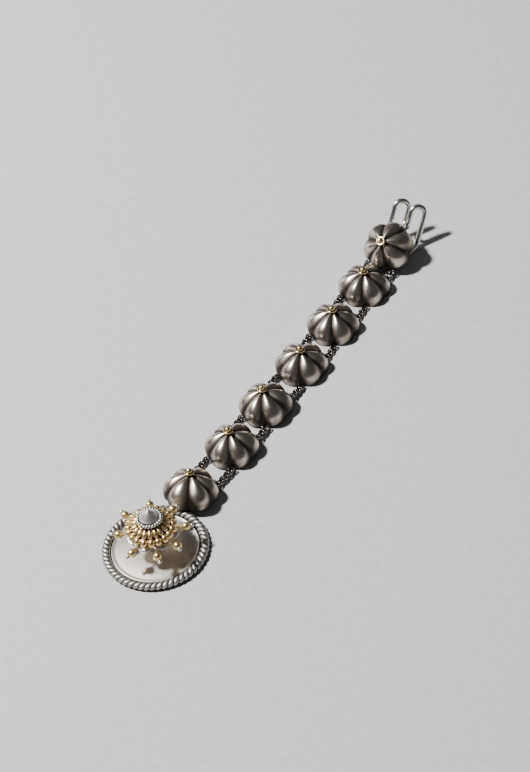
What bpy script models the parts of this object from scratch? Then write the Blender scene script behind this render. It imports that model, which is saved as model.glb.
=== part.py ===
"""Maang tikka: a forehead jewel lying face up, modelled at its real size.

A round silver pendant with a gilt, grained tower hangs on a row of seven
fluted silver domes, joined by two chains and ended by a double wire hook.
Units are metres, +Z is up. The row runs along +Y from pendant to hook.
"""
import math

import bmesh
import bpy
from mathutils import Matrix, Vector

MM = 0.001

# General fits
GAP = 0.3 * MM
WELD = 0.002 * MM

# Pendant disc: plate, thin inner wire and twisted rope rim
PENDANT_RADIUS = 14.5 * MM
ROPE_RADIUS = 1.15 * MM
ROPE_TURNS = 28
ROPE_BITE = 0.65 * MM
ROPE_FLAT = 0.16
ROPE_STEPS = 5
ROPE_SIDES = 6
PLATE_THICKNESS = 0.8 * MM
PLATE_DISH = 0.25 * MM
INNER_WIRE_RADIUS = 0.3 * MM
INNER_WIRE_INSET = 0.25 * MM
PLATE_STEPS = 36
# The dish from its middle to its edge, as shares of its radius and of PLATE_DISH
DISH_PROFILE = (
    {"reach": 0.00, "depth": 1.00},
    {"reach": 0.55, "depth": 0.80},
    {"reach": 0.85, "depth": 0.35},
    {"reach": 1.00, "depth": 0.00},
)

# Tower: post with petals, two tiers of gilt grains, rope collar and cone
POST_FOOT_RADIUS = 2.3 * MM
POST_NECK_RADIUS = 1.9 * MM
SPINDLE_RADIUS = 1.5 * MM
PETAL_COUNT = 8
PETAL_RADIUS = 7.3 * MM
PETAL_HEIGHT = 8.1 * MM
PETAL_THICKNESS = 0.5 * MM
PETAL_RISE = 0.4 * MM
PETAL_NOTCH = 1.5 * MM
PETAL_SPREAD = 0.5
PETAL_CURL = 0.8
PETAL_DROOP = 0.8 * MM
SKIRT_GRAINS = 20
SKIRT_INSET = 1.2 * MM
SKIRT_GRAIN_RADIUS = 0.84 * MM
CROWN_GRAINS = 20
CROWN_GRAIN_RADIUS = 0.5 * MM
CROWN_GRAIN_LENGTH = 2.4 * MM
CROWN_GRAIN_SLOPE = math.radians(28)
CROWN_RING_RADIUS = 4.1 * MM
GRAIN_TAPER = 0.12
GRAIN_SINK = 0.6
GRAIN_SIDES = 10
COLLAR_RADIUS = 3.65 * MM
COLLAR_ROPE_RADIUS = 0.55 * MM
COLLAR_TURNS = 13
COLLAR_STEPS = 4
CONE_RADIUS = 2.65 * MM
CONE_HEIGHT = 2.4 * MM
CONE_LIP = 0.25 * MM
CONE_STEPS = 16
CONE_TIP = 0.12
CONE_WAIST = 0.5
CONE_WAIST_RISE = 0.55

# Ball pins round the tower
PIN_COUNT = 8
PIN_PHASE = math.radians(-4)
PIN_WIRE_RADIUS = 0.3 * MM
PIN_BALL_RADIUS = 1.2 * MM
PIN_BALL_REACH = 9.1 * MM
PIN_BEAD_RADIUS = 0.52 * MM
PIN_BEAD_SINK = 0.2
PIN_SIDES = 10

# Fluted domes and their gilt finials
DOME_RADIUS = 7.6 * MM
DOME_HEIGHT = 6.95 * MM
DOME_TUCK = math.radians(106)
DOME_LOBES = 6
DOME_FLUTE = 1.25 * MM
DOME_WALL = 0.5 * MM
DOME_LOBE_POWER = 0.75
DOME_LOBE_STEPS = 4
DOME_RINGS = 5
FIRST_LAP = 2.7 * MM
DOME_PITCH = 17.6 * MM
LAST_PITCH = 15.2 * MM
LAST_TILT = math.radians(35)
FINIAL_RADIUS = 1.4 * MM
FINIAL_HEIGHT = 1.0 * MM
FINIAL_WALL = 0.4 * MM
FINIAL_BALL_RADIUS = 0.8 * MM
FINIAL_BOWL = 0.45
FINIAL_FOOT = 0.7

# How each dome lies, pendant to hook: its place across the row from the pendant's
# axis and its slip back along the slack chains, both as shares of DOME_RADIUS,
# and its lean towards -X in degrees
DOME_LIES = (
    {"sway": -0.26, "slip": 0.00, "lean": 2.5},
    {"sway": -0.21, "slip": 0.10, "lean": 3.5},
    {"sway": -0.25, "slip": 0.12, "lean": 4.5},
    {"sway": -0.24, "slip": 0.05, "lean": -1.5},
    {"sway": -0.32, "slip": 0.02, "lean": -1.0},
    {"sway": -0.39, "slip": 0.00, "lean": -1.5},
    {"sway": -0.42, "slip": 0.00, "lean": 0.0},
)

# Chains between the domes
CHAIN_RADIUS = 0.72 * MM
CHAIN_ANGLE = math.radians(38)
CHAIN_POINTS = 5
FIRST_CHAIN_SPREAD = 2.4 * MM
FIRST_CHAIN_LENGTH = 3.2 * MM

# Small trim of the row's place along Y
ROW_TRIM = 0.62 * MM

# Double wire hook under the last dome
HOOK_WIRE_RADIUS = 0.8 * MM
HOOK_HUMP_WIDTH = 3.1 * MM
HOOK_MIDDLE_WIDTH = 2.5 * MM
HOOK_DEPTH = 3.0 * MM
HOOK_RISE = 10.3 * MM
HOOK_SLOPE = math.radians(54)
HOOK_BEND_REACH = 5.8 * MM
HOOK_BEND_RADIUS = 1.6 * MM
HOOK_JOINT_DROP = 7.4 * MM
HOOK_TAIL_REACH = 3.9 * MM
HOOK_TAIL_INSET = 1.2 * MM
HOOK_STEP = 0.9 * MM

# Places worked out from the sizes above
ROPE_RING = PENDANT_RADIUS - ROPE_RADIUS
PLATE_RADIUS = ROPE_RING - ROPE_RADIUS + ROPE_BITE
SKIRT_RING_RADIUS = PETAL_RADIUS - SKIRT_INSET
DOME_SEMI = DOME_HEIGHT / (1 - math.cos(DOME_TUCK))
FIRST_DOME = PENDANT_RADIUS + GAP + DOME_RADIUS - FIRST_LAP
FIRST_TILT = math.asin((2 * ROPE_RADIUS + GAP) / (2 * DOME_RADIUS * math.sin(DOME_TUCK)))
DOME_COUNT = len(DOME_LIES)
SECOND_DOME = PENDANT_RADIUS + GAP + DOME_RADIUS + DOME_PITCH
LAST_DOME = SECOND_DOME + (DOME_COUNT - 3) * DOME_PITCH + LAST_PITCH
HOOK_HUMP_RADIUS = math.hypot(HOOK_HUMP_WIDTH, HOOK_DEPTH) / 2
HOOK_JOINT_RADIUS = math.hypot(HOOK_MIDDLE_WIDTH, HOOK_DEPTH) / 2
HOOK_LENGTH = HOOK_RISE / math.sin(HOOK_SLOPE)
HOOK_RUN = HOOK_RISE / math.tan(HOOK_SLOPE)
HOOK_TOP = LAST_DOME + HOOK_BEND_REACH + HOOK_RUN
ROW_SHIFT = -(HOOK_TOP - PENDANT_RADIUS + ROW_TRIM) / 2


def clear_scene():
    """Remove every object so that the script starts from nothing."""
    for item in list(bpy.data.objects):
        bpy.data.objects.remove(item, do_unlink=True)


def make_collection(name):
    """Return a new collection linked to the scene."""
    made = bpy.data.collections.new(name)
    bpy.context.scene.collection.children.link(made)
    return made


def make_material(name, colour, roughness, metallic=1.0):
    """Return a Principled material with a plain metal finish."""
    made = bpy.data.materials.new(name)
    made.use_nodes = True
    shader = made.node_tree.nodes["Principled BSDF"]
    shader.inputs["Base Color"].default_value = (*colour, 1.0)
    shader.inputs["Roughness"].default_value = roughness
    shader.inputs["Metallic"].default_value = metallic
    return made


def add_object(name, mesh, collection, material):
    """Link a mesh as a named object, smooth with sharp edges kept."""
    mesh.name = name
    mesh.shade_smooth()
    mesh.set_sharp_from_angle(angle=math.radians(40))
    made = bpy.data.objects.new(name, mesh)
    collection.objects.link(made)
    if not mesh.materials:
        mesh.materials.append(material)
    return made


def evaluated_mesh(source):
    """Return a new mesh of an object with its modifiers applied."""
    depsgraph = bpy.context.evaluated_depsgraph_get()
    return bpy.data.meshes.new_from_object(source.evaluated_get(depsgraph))


def mesh_from(build):
    """Run a function on a new bmesh and return the result as a mesh."""
    work = bmesh.new()
    build(work)
    mesh = bpy.data.meshes.new("shape")
    work.to_mesh(mesh)
    work.free()
    return mesh


def turned_mesh(profile, steps):
    """Turn a profile of (radius, height) points, given top to bottom, round Z."""
    mesh = bpy.data.meshes.new("profile")
    points = [(radius, 0.0, height) for radius, height in profile]
    edges = [(i, i + 1) for i in range(len(points) - 1)]
    if profile[0][0] > 0:
        edges.append((len(points) - 1, 0))
    mesh.from_pydata(points, edges, [])
    blank = bpy.data.objects.new("profile", mesh)
    bpy.context.scene.collection.objects.link(blank)
    screw = blank.modifiers.new("Turn", "SCREW")
    screw.axis = "Z"
    screw.steps = steps
    screw.render_steps = steps
    screw.use_merge_vertices = True
    screw.merge_threshold = WELD
    turned = evaluated_mesh(blank)
    bpy.data.objects.remove(blank, do_unlink=True)
    return turned


def joined_mesh(first, second):
    """Return the union of two closed meshes as one body."""
    objects = []
    for mesh in (first, second):
        item = bpy.data.objects.new("join", mesh)
        bpy.context.scene.collection.objects.link(item)
        objects.append(item)
    union = objects[0].modifiers.new("Join", "BOOLEAN")
    union.operation = "UNION"
    union.solver = "EXACT"
    union.object = objects[1]
    joined = evaluated_mesh(objects[0])
    for item in objects:
        bpy.data.objects.remove(item, do_unlink=True)
    return joined


def arc(centre, radius, start, end, steps):
    """Return (radius, height) points on an arc between two angles in degrees."""
    points = []
    for i in range(steps + 1):
        angle = math.radians(start + (end - start) * i / steps)
        points.append((centre[0] + radius * math.cos(angle), centre[1] + radius * math.sin(angle)))
    return points


def rope_ring_mesh(ring, radius, height, turns, per_turn):
    """Loft a two-strand twisted section round a ring in the XY plane."""
    sections = turns * per_turn

    def build(work):
        loops = []
        for i in range(sections):
            around = 2 * math.pi * i / sections
            twist = 2 * math.pi * i / per_turn
            loop = []
            for j in range(ROPE_SIDES):
                angle = 2 * math.pi * j / ROPE_SIDES
                reach = radius * (1 - ROPE_FLAT + ROPE_FLAT * math.cos(2 * (angle - twist)))
                out = ring + reach * math.cos(angle)
                up = height + reach * math.sin(angle)
                loop.append(work.verts.new((out * math.cos(around), out * math.sin(around), up)))
            loops.append(loop)
        for i, loop in enumerate(loops):
            after = loops[(i + 1) % sections]
            for j in range(ROPE_SIDES):
                k = (j + 1) % ROPE_SIDES
                work.faces.new((loop[j], after[j], after[k], loop[k]))
        bmesh.ops.recalc_face_normals(work, faces=work.faces)

    return mesh_from(build)


def wire_mesh(points, radius, resolution):
    """Sweep a round wire with filled caps along a list of points."""
    curve = bpy.data.curves.new("wire", "CURVE")
    curve.dimensions = "3D"
    curve.bevel_depth = radius
    curve.bevel_resolution = resolution
    curve.use_fill_caps = True
    spline = curve.splines.new("POLY")
    spline.points.add(len(points) - 1)
    for place, point in zip(spline.points, points):
        place.co = (*point, 1.0)
    blank = bpy.data.objects.new("wire", curve)
    bpy.context.scene.collection.objects.link(blank)
    mesh = evaluated_mesh(blank)
    bpy.data.objects.remove(blank, do_unlink=True)
    work = bmesh.new()
    work.from_mesh(mesh)
    bmesh.ops.remove_doubles(work, verts=work.verts, dist=WELD)
    bmesh.ops.recalc_face_normals(work, faces=work.faces)
    work.to_mesh(mesh)
    work.free()
    return mesh


def rounded_path(corners, spacing):
    """Round each corner of a polyline; corners are (point, radius) pairs."""
    path = [corners[0][0]]
    for before, (corner, radius), after in zip(corners, corners[1:], corners[2:]):
        inward = (before[0] - corner).normalized()
        onward = (after[0] - corner).normalized()
        half = inward.angle(onward) / 2
        cut = radius / math.tan(half)
        centre = corner + (inward + onward).normalized() * radius / math.sin(half)
        start = corner + inward * cut - centre
        end = corner + onward * cut - centre
        sweep = start.angle(end)
        steps = max(2, round(radius * sweep / spacing))
        for i in range(steps + 1):
            share = i / steps
            blend = start * math.sin((1 - share) * sweep) + end * math.sin(share * sweep)
            path.append(centre + blend / math.sin(sweep))
    path.append(corners[-1][0])
    return path


def dome_point(polar, around):
    """Return a point of the fluted dome's outer skin, base at z = 0."""
    sine = math.sin(polar)
    cosine = math.cos(polar)
    base = Vector((DOME_RADIUS * sine, DOME_SEMI * (cosine - math.cos(DOME_TUCK))))
    normal = Vector((sine / DOME_RADIUS, cosine / DOME_SEMI)).normalized()
    lobe = abs(math.cos((around - math.pi / 2) * DOME_LOBES / 2))
    depth = DOME_FLUTE * (1 - lobe ** DOME_LOBE_POWER) * math.sqrt(max(sine, 0.0))
    radius, height = base - normal * depth
    return Vector((radius * math.cos(around), radius * math.sin(around), height))


def dome_reach(around, height):
    """Return the skin's distance from the dome's axis at a low height."""
    low = DOME_TUCK
    high = math.pi / 2
    for _ in range(30):
        middle = (low + high) / 2
        if dome_point(middle, around).z < height:
            low = middle
        else:
            high = middle
    point = dome_point(low, around)
    return math.hypot(point.x, point.y)


def dome_mesh():
    """Shape the fluted skin of a dome from a sphere, open at the base."""

    def build(work):
        bmesh.ops.create_uvsphere(
            work,
            u_segments=DOME_LOBES * DOME_LOBE_STEPS,
            v_segments=2 * DOME_RINGS,
            radius=1.0,
        )
        below = [vert for vert in work.verts if vert.co.z < -WELD]
        bmesh.ops.delete(work, geom=below, context="VERTS")
        for vert in work.verts:
            share = math.acos(max(-1.0, min(1.0, vert.co.z))) / (math.pi / 2)
            around = math.atan2(vert.co.y, vert.co.x)
            vert.co = dome_point(share * DOME_TUCK, around)

    return mesh_from(build)


def grain_row_mesh(count, ring, height, radius, length, slope):
    """Return a ring of loose grains that point outwards and down."""

    def build(work):
        for i in range(count):
            around = 2 * math.pi * i / count
            made = bmesh.ops.create_uvsphere(
                work, u_segments=GRAIN_SIDES, v_segments=GRAIN_SIDES // 2, radius=radius
            )
            for vert in made["verts"]:
                taper = 1 + GRAIN_TAPER * (length / radius - 2) * vert.co.z / radius
                stretch = length / (2 * radius)
                vert.co = Vector((vert.co.x * taper, vert.co.y * taper, vert.co.z * stretch))
            turn = Matrix.Rotation(around, 4, "Z")
            lean = Matrix.Rotation(math.pi / 2 + slope, 4, "Y")
            place = turn @ Matrix.Translation((ring, 0, height)) @ lean
            bmesh.ops.transform(work, matrix=place, verts=made["verts"])

    return mesh_from(build)


def build_pendant(collection, material):
    """Build the plate with its inner wire and the twisted rope rim as one solid."""
    top = PLATE_THICKNESS
    wire_ring = PLATE_RADIUS - ROPE_BITE - INNER_WIRE_INSET - INNER_WIRE_RADIUS
    wire = arc((wire_ring, top), INNER_WIRE_RADIUS, 180, 0, 4)
    dish_edge = wire_ring - 2 * INNER_WIRE_RADIUS
    profile = [
        *((dish_edge * row["reach"], top - PLATE_DISH * row["depth"]) for row in DISH_PROFILE),
        *wire,
        (PLATE_RADIUS, top),
        (PLATE_RADIUS, 0.0),
        (0.0, 0.0),
    ]
    plate = turned_mesh(profile, PLATE_STEPS)
    rope = rope_ring_mesh(ROPE_RING, ROPE_RADIUS, ROPE_RADIUS, ROPE_TURNS, ROPE_STEPS)
    return add_object("pendant_disc", joined_mesh(plate, rope), collection, material)


def petal_top(radius):
    """Return the height of the petals' upper face at a radius."""
    share = min(1.0, radius / PETAL_RADIUS)
    return PETAL_HEIGHT + PETAL_THICKNESS + PETAL_RISE * (1 - share)


def build_tower(collection, bright, gilt):
    """Build the post with petals, the two grain tiers, the collar and the cone."""
    foot = PLATE_THICKNESS - PLATE_DISH + GAP
    hub = petal_top(0.0)
    skirt_seat = petal_top(SKIRT_RING_RADIUS - SKIRT_GRAIN_RADIUS) + GAP
    skirt_middle = skirt_seat + SKIRT_GRAIN_RADIUS
    skirt_top = skirt_middle + SKIRT_GRAIN_RADIUS * GRAIN_SINK
    crown_seat = skirt_top + GAP
    dip = CROWN_GRAIN_LENGTH / 2 * math.sin(CROWN_GRAIN_SLOPE)
    crown_middle = crown_seat + dip + CROWN_GRAIN_RADIUS * GRAIN_SINK
    crown_top = crown_middle + dip + CROWN_GRAIN_RADIUS * GRAIN_SINK
    collar_middle = crown_top + GAP + COLLAR_ROPE_RADIUS
    cone_base = collar_middle + COLLAR_ROPE_RADIUS + GAP
    spindle_top = cone_base - GAP
    bore = SPINDLE_RADIUS + GAP
    spread = PETAL_RADIUS * PETAL_SPREAD
    curl = PETAL_RADIUS * PETAL_CURL

    post = turned_mesh(
        [
            (0.0, spindle_top),
            (SPINDLE_RADIUS, spindle_top),
            (SPINDLE_RADIUS, hub),
            (spread, petal_top(spread)),
            (curl, petal_top(curl)),
            (PETAL_RADIUS, petal_top(PETAL_RADIUS)),
            (PETAL_RADIUS, petal_top(PETAL_RADIUS) - PETAL_THICKNESS),
            (spread, petal_top(spread) - PETAL_THICKNESS),
            (POST_NECK_RADIUS, petal_top(POST_NECK_RADIUS) - PETAL_THICKNESS),
            (POST_NECK_RADIUS, (foot + PETAL_HEIGHT) / 2),
            (POST_FOOT_RADIUS, foot),
            (0.0, foot),
        ],
        PETAL_COUNT * 4,
    )
    for vert in post.vertices:
        reach = math.hypot(vert.co.x, vert.co.y)
        around = math.atan2(vert.co.y, vert.co.x) - PIN_PHASE - math.pi / PETAL_COUNT
        notch = 1 - abs(math.cos(around * PETAL_COUNT / 2))
        share = max(0.0, reach / PETAL_RADIUS - PETAL_SPREAD) / (1 - PETAL_SPREAD)
        shrink = 1 - PETAL_NOTCH / PETAL_RADIUS * notch * share
        vert.co.z -= PETAL_DROOP * (1 - notch) * share ** 2
        vert.co.x *= shrink
        vert.co.y *= shrink
    add_object("petal_post", post, collection, bright)

    skirt = turned_mesh(
        [
            (bore, skirt_top),
            (SKIRT_RING_RADIUS - SKIRT_GRAIN_RADIUS * GRAIN_SINK, skirt_top - GAP),
            (SKIRT_RING_RADIUS, skirt_middle),
            (SKIRT_RING_RADIUS - SKIRT_GRAIN_RADIUS, skirt_middle - GAP),
            (bore, skirt_middle - GAP / 2),
        ],
        SKIRT_GRAINS,
    )
    balls = grain_row_mesh(
        SKIRT_GRAINS, SKIRT_RING_RADIUS, skirt_middle, SKIRT_GRAIN_RADIUS,
        2 * SKIRT_GRAIN_RADIUS, 0.0,
    )
    add_object("grain_skirt", joined_mesh(skirt, balls), collection, gilt)

    inner = CROWN_RING_RADIUS - CROWN_GRAIN_LENGTH / 2 * math.cos(CROWN_GRAIN_SLOPE)
    outer = CROWN_RING_RADIUS + CROWN_GRAIN_LENGTH / 3 * math.cos(CROWN_GRAIN_SLOPE)
    seat = turned_mesh(
        [
            (bore, crown_top),
            (inner, crown_top),
            (outer, crown_middle - dip * 0.5),
            (outer, crown_seat),
            (bore, crown_seat),
        ],
        CROWN_GRAINS,
    )
    grains = grain_row_mesh(
        CROWN_GRAINS, CROWN_RING_RADIUS, crown_middle, CROWN_GRAIN_RADIUS,
        CROWN_GRAIN_LENGTH, CROWN_GRAIN_SLOPE,
    )
    add_object("grain_crown", joined_mesh(seat, grains), collection, gilt)

    ring = COLLAR_RADIUS - COLLAR_ROPE_RADIUS
    collar = rope_ring_mesh(ring, COLLAR_ROPE_RADIUS, collar_middle, COLLAR_TURNS, COLLAR_STEPS)
    add_object("rope_collar", collar, collection, bright)

    cone = turned_mesh(
        [
            (0.0, cone_base + CONE_HEIGHT),
            (CONE_RADIUS * CONE_TIP, cone_base + CONE_HEIGHT - CONE_LIP / 2),
            (CONE_RADIUS * CONE_WAIST, cone_base + CONE_HEIGHT * CONE_WAIST_RISE),
            (CONE_RADIUS, cone_base + CONE_LIP),
            (CONE_RADIUS, cone_base),
            (0.0, cone_base),
        ],
        CONE_STEPS,
    )
    add_object("cone_cap", cone, collection, bright)


def build_pins(collection, material):
    """Build the ball pins that point outwards from the tower's neck."""
    height = PETAL_HEIGHT - GAP - PIN_WIRE_RADIUS
    start = POST_NECK_RADIUS + GAP
    ball = arc((0.0, PIN_BALL_REACH), PIN_BALL_RADIUS, 62, -72, 4)
    bead_middle = PIN_BALL_REACH + PIN_BALL_RADIUS + PIN_BEAD_RADIUS * (1 - PIN_BEAD_SINK)
    bead = arc((0.0, bead_middle), PIN_BEAD_RADIUS, 90, -30, 2)
    profile = [*bead, *ball, (PIN_WIRE_RADIUS, PIN_BALL_REACH - PIN_BALL_RADIUS)]
    profile += [(PIN_WIRE_RADIUS, start), (0.0, start)]
    profile[0] = (0.0, profile[0][1])
    mesh = turned_mesh(profile, PIN_SIDES)
    for i in range(PIN_COUNT):
        pin = add_object(f"ball_pin_{i + 1}", mesh, collection, material)
        pin.location = (0.0, ROW_SHIFT, height)
        pin.rotation_euler = (0.0, math.pi / 2, PIN_PHASE + 2 * math.pi * i / PIN_COUNT)


def finial_mesh():
    """Turn the little cup with a ball in it."""
    rim = FINIAL_RADIUS - FINIAL_WALL / 2
    bowl = FINIAL_HEIGHT * FINIAL_BOWL
    ball = arc((0.0, bowl + FINIAL_BALL_RADIUS * FINIAL_FOOT), FINIAL_BALL_RADIUS, 90, -35, 3)
    ball[0] = (0.0, ball[0][1])
    profile = [
        *ball,
        (FINIAL_RADIUS - FINIAL_WALL, bowl),
        *arc((rim, FINIAL_HEIGHT), FINIAL_WALL / 2, 180, 0, 2),
        (FINIAL_RADIUS * FINIAL_FOOT, 0.0),
        (0.0, 0.0),
    ]
    return turned_mesh(profile, PIN_SIDES)


def dome_places():
    """Return the centre of each dome's base, along the row."""
    places = []
    for i, lie in enumerate(DOME_LIES):
        along = SECOND_DOME + (i - 1) * DOME_PITCH - lie["slip"] * DOME_RADIUS
        if i == 0:
            along = FIRST_DOME
        if i == DOME_COUNT - 1:
            along = LAST_DOME
        places.append(Vector((lie["sway"] * DOME_RADIUS, along + ROW_SHIFT, 0.0)))
    return places


def build_domes(collection, silver, gilt):
    """Build the domes with their finials; the first leans on the rim, the last tips up."""
    skin = dome_mesh()
    finial = finial_mesh()
    domes = []
    for i, place in enumerate(dome_places()):
        dome = add_object(f"fluted_dome_{i + 1}", skin, collection, silver)
        wall = dome.modifiers.new("Wall", "SOLIDIFY")
        wall.thickness = DOME_WALL
        wall.offset = -1.0
        tilt = {0: -FIRST_TILT, DOME_COUNT - 1: LAST_TILT}.get(i, 0.0)
        dome.rotation_euler = (tilt, -math.radians(DOME_LIES[i]["lean"]), 0.0)
        turn = dome.rotation_euler.to_matrix()
        lowest = min((turn @ vert.co).z for vert in skin.vertices)
        dome.location = place - Vector((0.0, 0.0, lowest))
        knob = add_object(f"gold_finial_{i + 1}", finial, collection, gilt)
        knob.parent = dome
        knob.location = (0.0, 0.0, DOME_HEIGHT + GAP)
        domes.append(dome)
    return domes


def chain_anchor(dome, side, forward):
    """Return where a chain's axis stops short of a dome's skin."""
    around = math.pi / 2 * forward - side * forward * CHAIN_ANGLE
    reach = dome_reach(around, CHAIN_RADIUS)
    point = Vector((reach * math.cos(around), reach * math.sin(around), CHAIN_RADIUS))
    world = dome.matrix_basis @ point
    world.y += forward * (GAP + CHAIN_RADIUS * math.tan(CHAIN_ANGLE))
    world.z = max(world.z, CHAIN_RADIUS)
    return world


def build_chains(collection, material, domes):
    """Build the chains' tubes between neighbours, the first pair from the pendant."""
    for side, label in ((-1, "left"), (1, "right")):
        ends = []
        across = domes[0].location.x + side * FIRST_CHAIN_SPREAD
        rim = math.sqrt((PENDANT_RADIUS + GAP) ** 2 - across ** 2)
        spread = CHAIN_RADIUS * abs(across) / PENDANT_RADIUS
        start = Vector((across, rim + spread + ROW_SHIFT, CHAIN_RADIUS))
        ends.append((start, start + Vector((0.0, FIRST_CHAIN_LENGTH, 0.0))))
        for near, far in zip(domes, domes[1:]):
            ends.append((chain_anchor(near, side, 1), chain_anchor(far, side, -1)))
        for i, (start, end) in enumerate(ends):
            points = [start.lerp(end, step / (CHAIN_POINTS - 1)) for step in range(CHAIN_POINTS)]
            mesh = wire_mesh(points, CHAIN_RADIUS, 2)
            add_object(f"chain_{label}_{i + 1}", mesh, collection, material)


def build_hook(collection, material, dome):
    """Bend the double hook: two humps side by side, coiled from one wire.

    Each hump's left leg stands in front of its right leg by HOOK_DEPTH.
    """
    outer = HOOK_MIDDLE_WIDTH / 2 + HOOK_HUMP_WIDTH
    inner = HOOK_MIDDLE_WIDTH / 2
    slope = Vector((0.0, math.cos(HOOK_SLOPE), math.sin(HOOK_SLOPE)))
    front = Vector((0.0, -math.sin(HOOK_SLOPE), math.cos(HOOK_SLOPE))) * HOOK_DEPTH / 2
    base = Vector((dome.location.x, LAST_DOME + ROW_SHIFT, HOOK_WIRE_RADIUS))
    shift = HOOK_DEPTH / 2 / math.sin(HOOK_SLOPE)

    def foot(across, along):
        return base + Vector((across, along, 0.0))

    def leg(across, along, side):
        return foot(across, HOOK_BEND_REACH) + slope * along + front * side

    joint = HOOK_LENGTH - HOOK_JOINT_DROP
    corners = [
        (foot(HOOK_TAIL_INSET - outer, -HOOK_TAIL_REACH), 0.0),
        (foot(-outer, HOOK_BEND_REACH - shift), HOOK_BEND_RADIUS),
        (leg(-outer, HOOK_LENGTH, 1), HOOK_HUMP_RADIUS),
        (leg(-inner, HOOK_LENGTH, -1), HOOK_HUMP_RADIUS),
        (leg(-inner, joint, -1), HOOK_JOINT_RADIUS),
        (leg(inner, joint, 1), HOOK_JOINT_RADIUS),
        (leg(inner, HOOK_LENGTH, 1), HOOK_HUMP_RADIUS),
        (leg(outer, HOOK_LENGTH, -1), HOOK_HUMP_RADIUS),
        (foot(outer, HOOK_BEND_REACH + shift), HOOK_BEND_RADIUS),
        (foot(outer - HOOK_TAIL_INSET, -HOOK_TAIL_REACH), 0.0),
    ]
    mesh = wire_mesh(rounded_path(corners, HOOK_STEP), HOOK_WIRE_RADIUS, 2)
    add_object("hair_hook", mesh, collection, material)


def main():
    """Build the whole jewel."""
    clear_scene()
    collection = make_collection("maang_tikka")
    silver = make_material("oxidised_silver", (0.46, 0.43, 0.40), 0.38)
    bright = make_material("bright_silver", (0.80, 0.79, 0.77), 0.22)
    gilt = make_material("gilt_grain", (0.82, 0.62, 0.30), 0.30)
    dark = make_material("dark_chain", (0.16, 0.15, 0.14), 0.42)

    pendant = build_pendant(collection, silver)
    pendant.location.y = ROW_SHIFT
    before = set(collection.objects)
    build_tower(collection, bright, gilt)
    for item in set(collection.objects) - before:
        item.location.y = ROW_SHIFT
    build_pins(collection, gilt)
    domes = build_domes(collection, silver, gilt)
    build_chains(collection, dark, domes)
    build_hook(collection, bright, domes[-1])


main()
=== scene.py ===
"""Looks for a maang tikka: a silver forehead jewel lying face up on a pale floor.

Every visible piece of the jewel is modelled here in detail, in metres, over the
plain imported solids: the rope-edged pendant with its gilt, grained tower, seven
fluted domes with ball finials, the double chains and the double wire hook.
"""

import logging
import math
import random
from dataclasses import dataclass, field
from enum import Enum
from typing import Callable, Iterable, Sequence

import bmesh
import bpy
from mathutils import Matrix, Vector, noise
from mathutils.bvhtree import BVHTree


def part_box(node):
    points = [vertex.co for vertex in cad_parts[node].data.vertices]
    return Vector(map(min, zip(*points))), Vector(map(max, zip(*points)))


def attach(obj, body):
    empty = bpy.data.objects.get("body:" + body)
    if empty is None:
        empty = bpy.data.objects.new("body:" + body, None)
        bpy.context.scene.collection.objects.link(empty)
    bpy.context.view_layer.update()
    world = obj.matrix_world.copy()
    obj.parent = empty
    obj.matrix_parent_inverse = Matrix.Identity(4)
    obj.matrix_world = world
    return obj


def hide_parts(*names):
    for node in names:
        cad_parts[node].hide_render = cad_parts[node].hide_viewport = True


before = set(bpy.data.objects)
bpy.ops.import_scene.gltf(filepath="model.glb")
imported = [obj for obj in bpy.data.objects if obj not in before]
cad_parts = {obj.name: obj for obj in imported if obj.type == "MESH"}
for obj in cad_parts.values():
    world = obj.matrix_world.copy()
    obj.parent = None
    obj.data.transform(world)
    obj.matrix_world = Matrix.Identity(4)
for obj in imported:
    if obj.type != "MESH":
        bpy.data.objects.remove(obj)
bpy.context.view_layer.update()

MM = 0.001
WELD = 0.002 * MM
BODY = "root"
LOG = logging.getLogger("tikka")

Colour = tuple[float, float, float]


class Slot(Enum):
    """The record's material slots."""

    OXIDISED = "oxidised_silver"
    BRIGHT = "bright_silver"
    GILT = "gilt_grain"
    CHAIN = "dark_chain"


# Shader maths

class Value:
    """An output socket of a shader that can be used in arithmetic."""

    def __init__(self, graph: "Graph", socket: bpy.types.NodeSocket) -> None:
        """Wrap a socket.

        Args:
            graph: the node tree that the socket belongs to.
            socket: the output socket.
        """
        self.graph = graph
        self.socket = socket

    def _maths(self, operation: str, *terms: "Value | float") -> "Value":
        """Add a Math node on the terms and return its result."""
        return self.graph.add("ShaderNodeMath", {"operation": operation}, dict(enumerate(terms)))

    def __add__(self, other: "Value | float") -> "Value":
        """Return self + other."""
        return self._maths("ADD", self, other)

    __radd__ = __add__

    def __sub__(self, other: "Value | float") -> "Value":
        """Return self - other."""
        return self._maths("SUBTRACT", self, other)

    def __rsub__(self, other: float) -> "Value":
        """Return other - self."""
        return self._maths("SUBTRACT", other, self)

    def __mul__(self, other: "Value | float") -> "Value":
        """Return self * other."""
        return self._maths("MULTIPLY", self, other)

    __rmul__ = __mul__

    def swing(self, amount: float) -> "Value":
        """Return a noise as a swing about 0, from -amount / 2 to amount / 2."""
        return (self - 0.5) * amount

    def clamp(self) -> "Value":
        """Return the value held between 0 and 1."""
        return self.graph.add("ShaderNodeClamp", {}, {0: self})

    def ramp(self, low: float, high: float) -> "Value":
        """Return a smooth step from 0 at low to 1 at high."""
        settings = {"interpolation_type": "SMOOTHSTEP"}
        return self.graph.add("ShaderNodeMapRange", settings, {0: self, 1: low, 2: high})


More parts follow.
